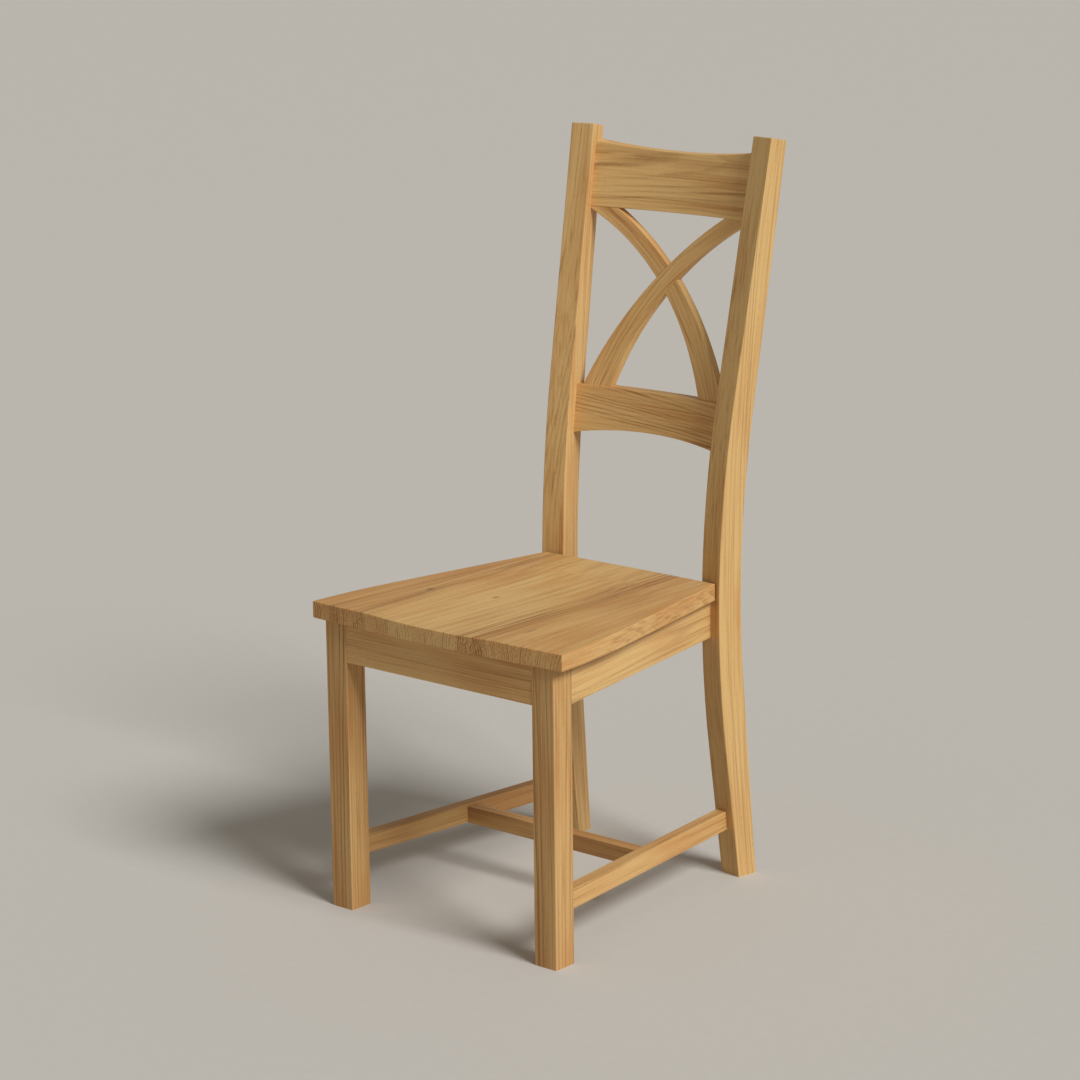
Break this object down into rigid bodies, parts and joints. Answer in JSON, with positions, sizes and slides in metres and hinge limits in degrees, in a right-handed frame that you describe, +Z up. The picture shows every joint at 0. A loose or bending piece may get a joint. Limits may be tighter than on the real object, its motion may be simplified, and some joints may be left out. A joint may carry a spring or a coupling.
{
  "type": "cross back dining chair",
  "caption": "Solid oak dining chair with a tall reclined back of crossed curved slats, a tapered wooden seat, square front legs and low stretchers.",
  "frame": {"origin": "on the floor under the middle of the chair's bounding box", "axes": "+Z up, the chair faces -Y, the sitter's left is +X"},
  "size_m": [0.4564, 0.5676, 1.0697],
  "materials": {
    "oak_frame": "waxed satin oak",
    "oak_back": "waxed satin oak",
    "oak_seat": "waxed satin oak, glued staves",
    "screw_steel": "plain zinc plated steel"
  },
  "bodies": {
    "root": {"front_leg_left": "oak_frame", "front_leg_right": "oak_frame", "back_post_left": "oak_frame", "back_post_right": "oak_frame", "side_rail_left": "oak_frame", "side_rail_right": "oak_frame", "side_stretcher_left": "oak_frame", "side_stretcher_right": "oak_frame", "corner_block_front_left": "oak_frame", "corner_block_front_right": "oak_frame", "corner_block_rear_left": "oak_frame", "corner_block_rear_right": "oak_frame", "front_rail": "oak_frame", "rear_rail": "oak_frame", "cross_stretcher": "oak_frame", "crest_rail": "oak_back", "lower_back_rail": "oak_back", "cross_slat_front": "oak_back", "cross_slat_rear": "oak_back", "seat_stave_1": "oak_seat", "seat_stave_2": "oak_seat", "seat_stave_3": "oak_seat", "seat_stave_4": "oak_seat", "seat_stave_5": "oak_seat", "seat_stave_6": "oak_seat", "corner_block_screws": "screw_steel", "seat_screws": "screw_steel"}
  },
  "joints": []
}
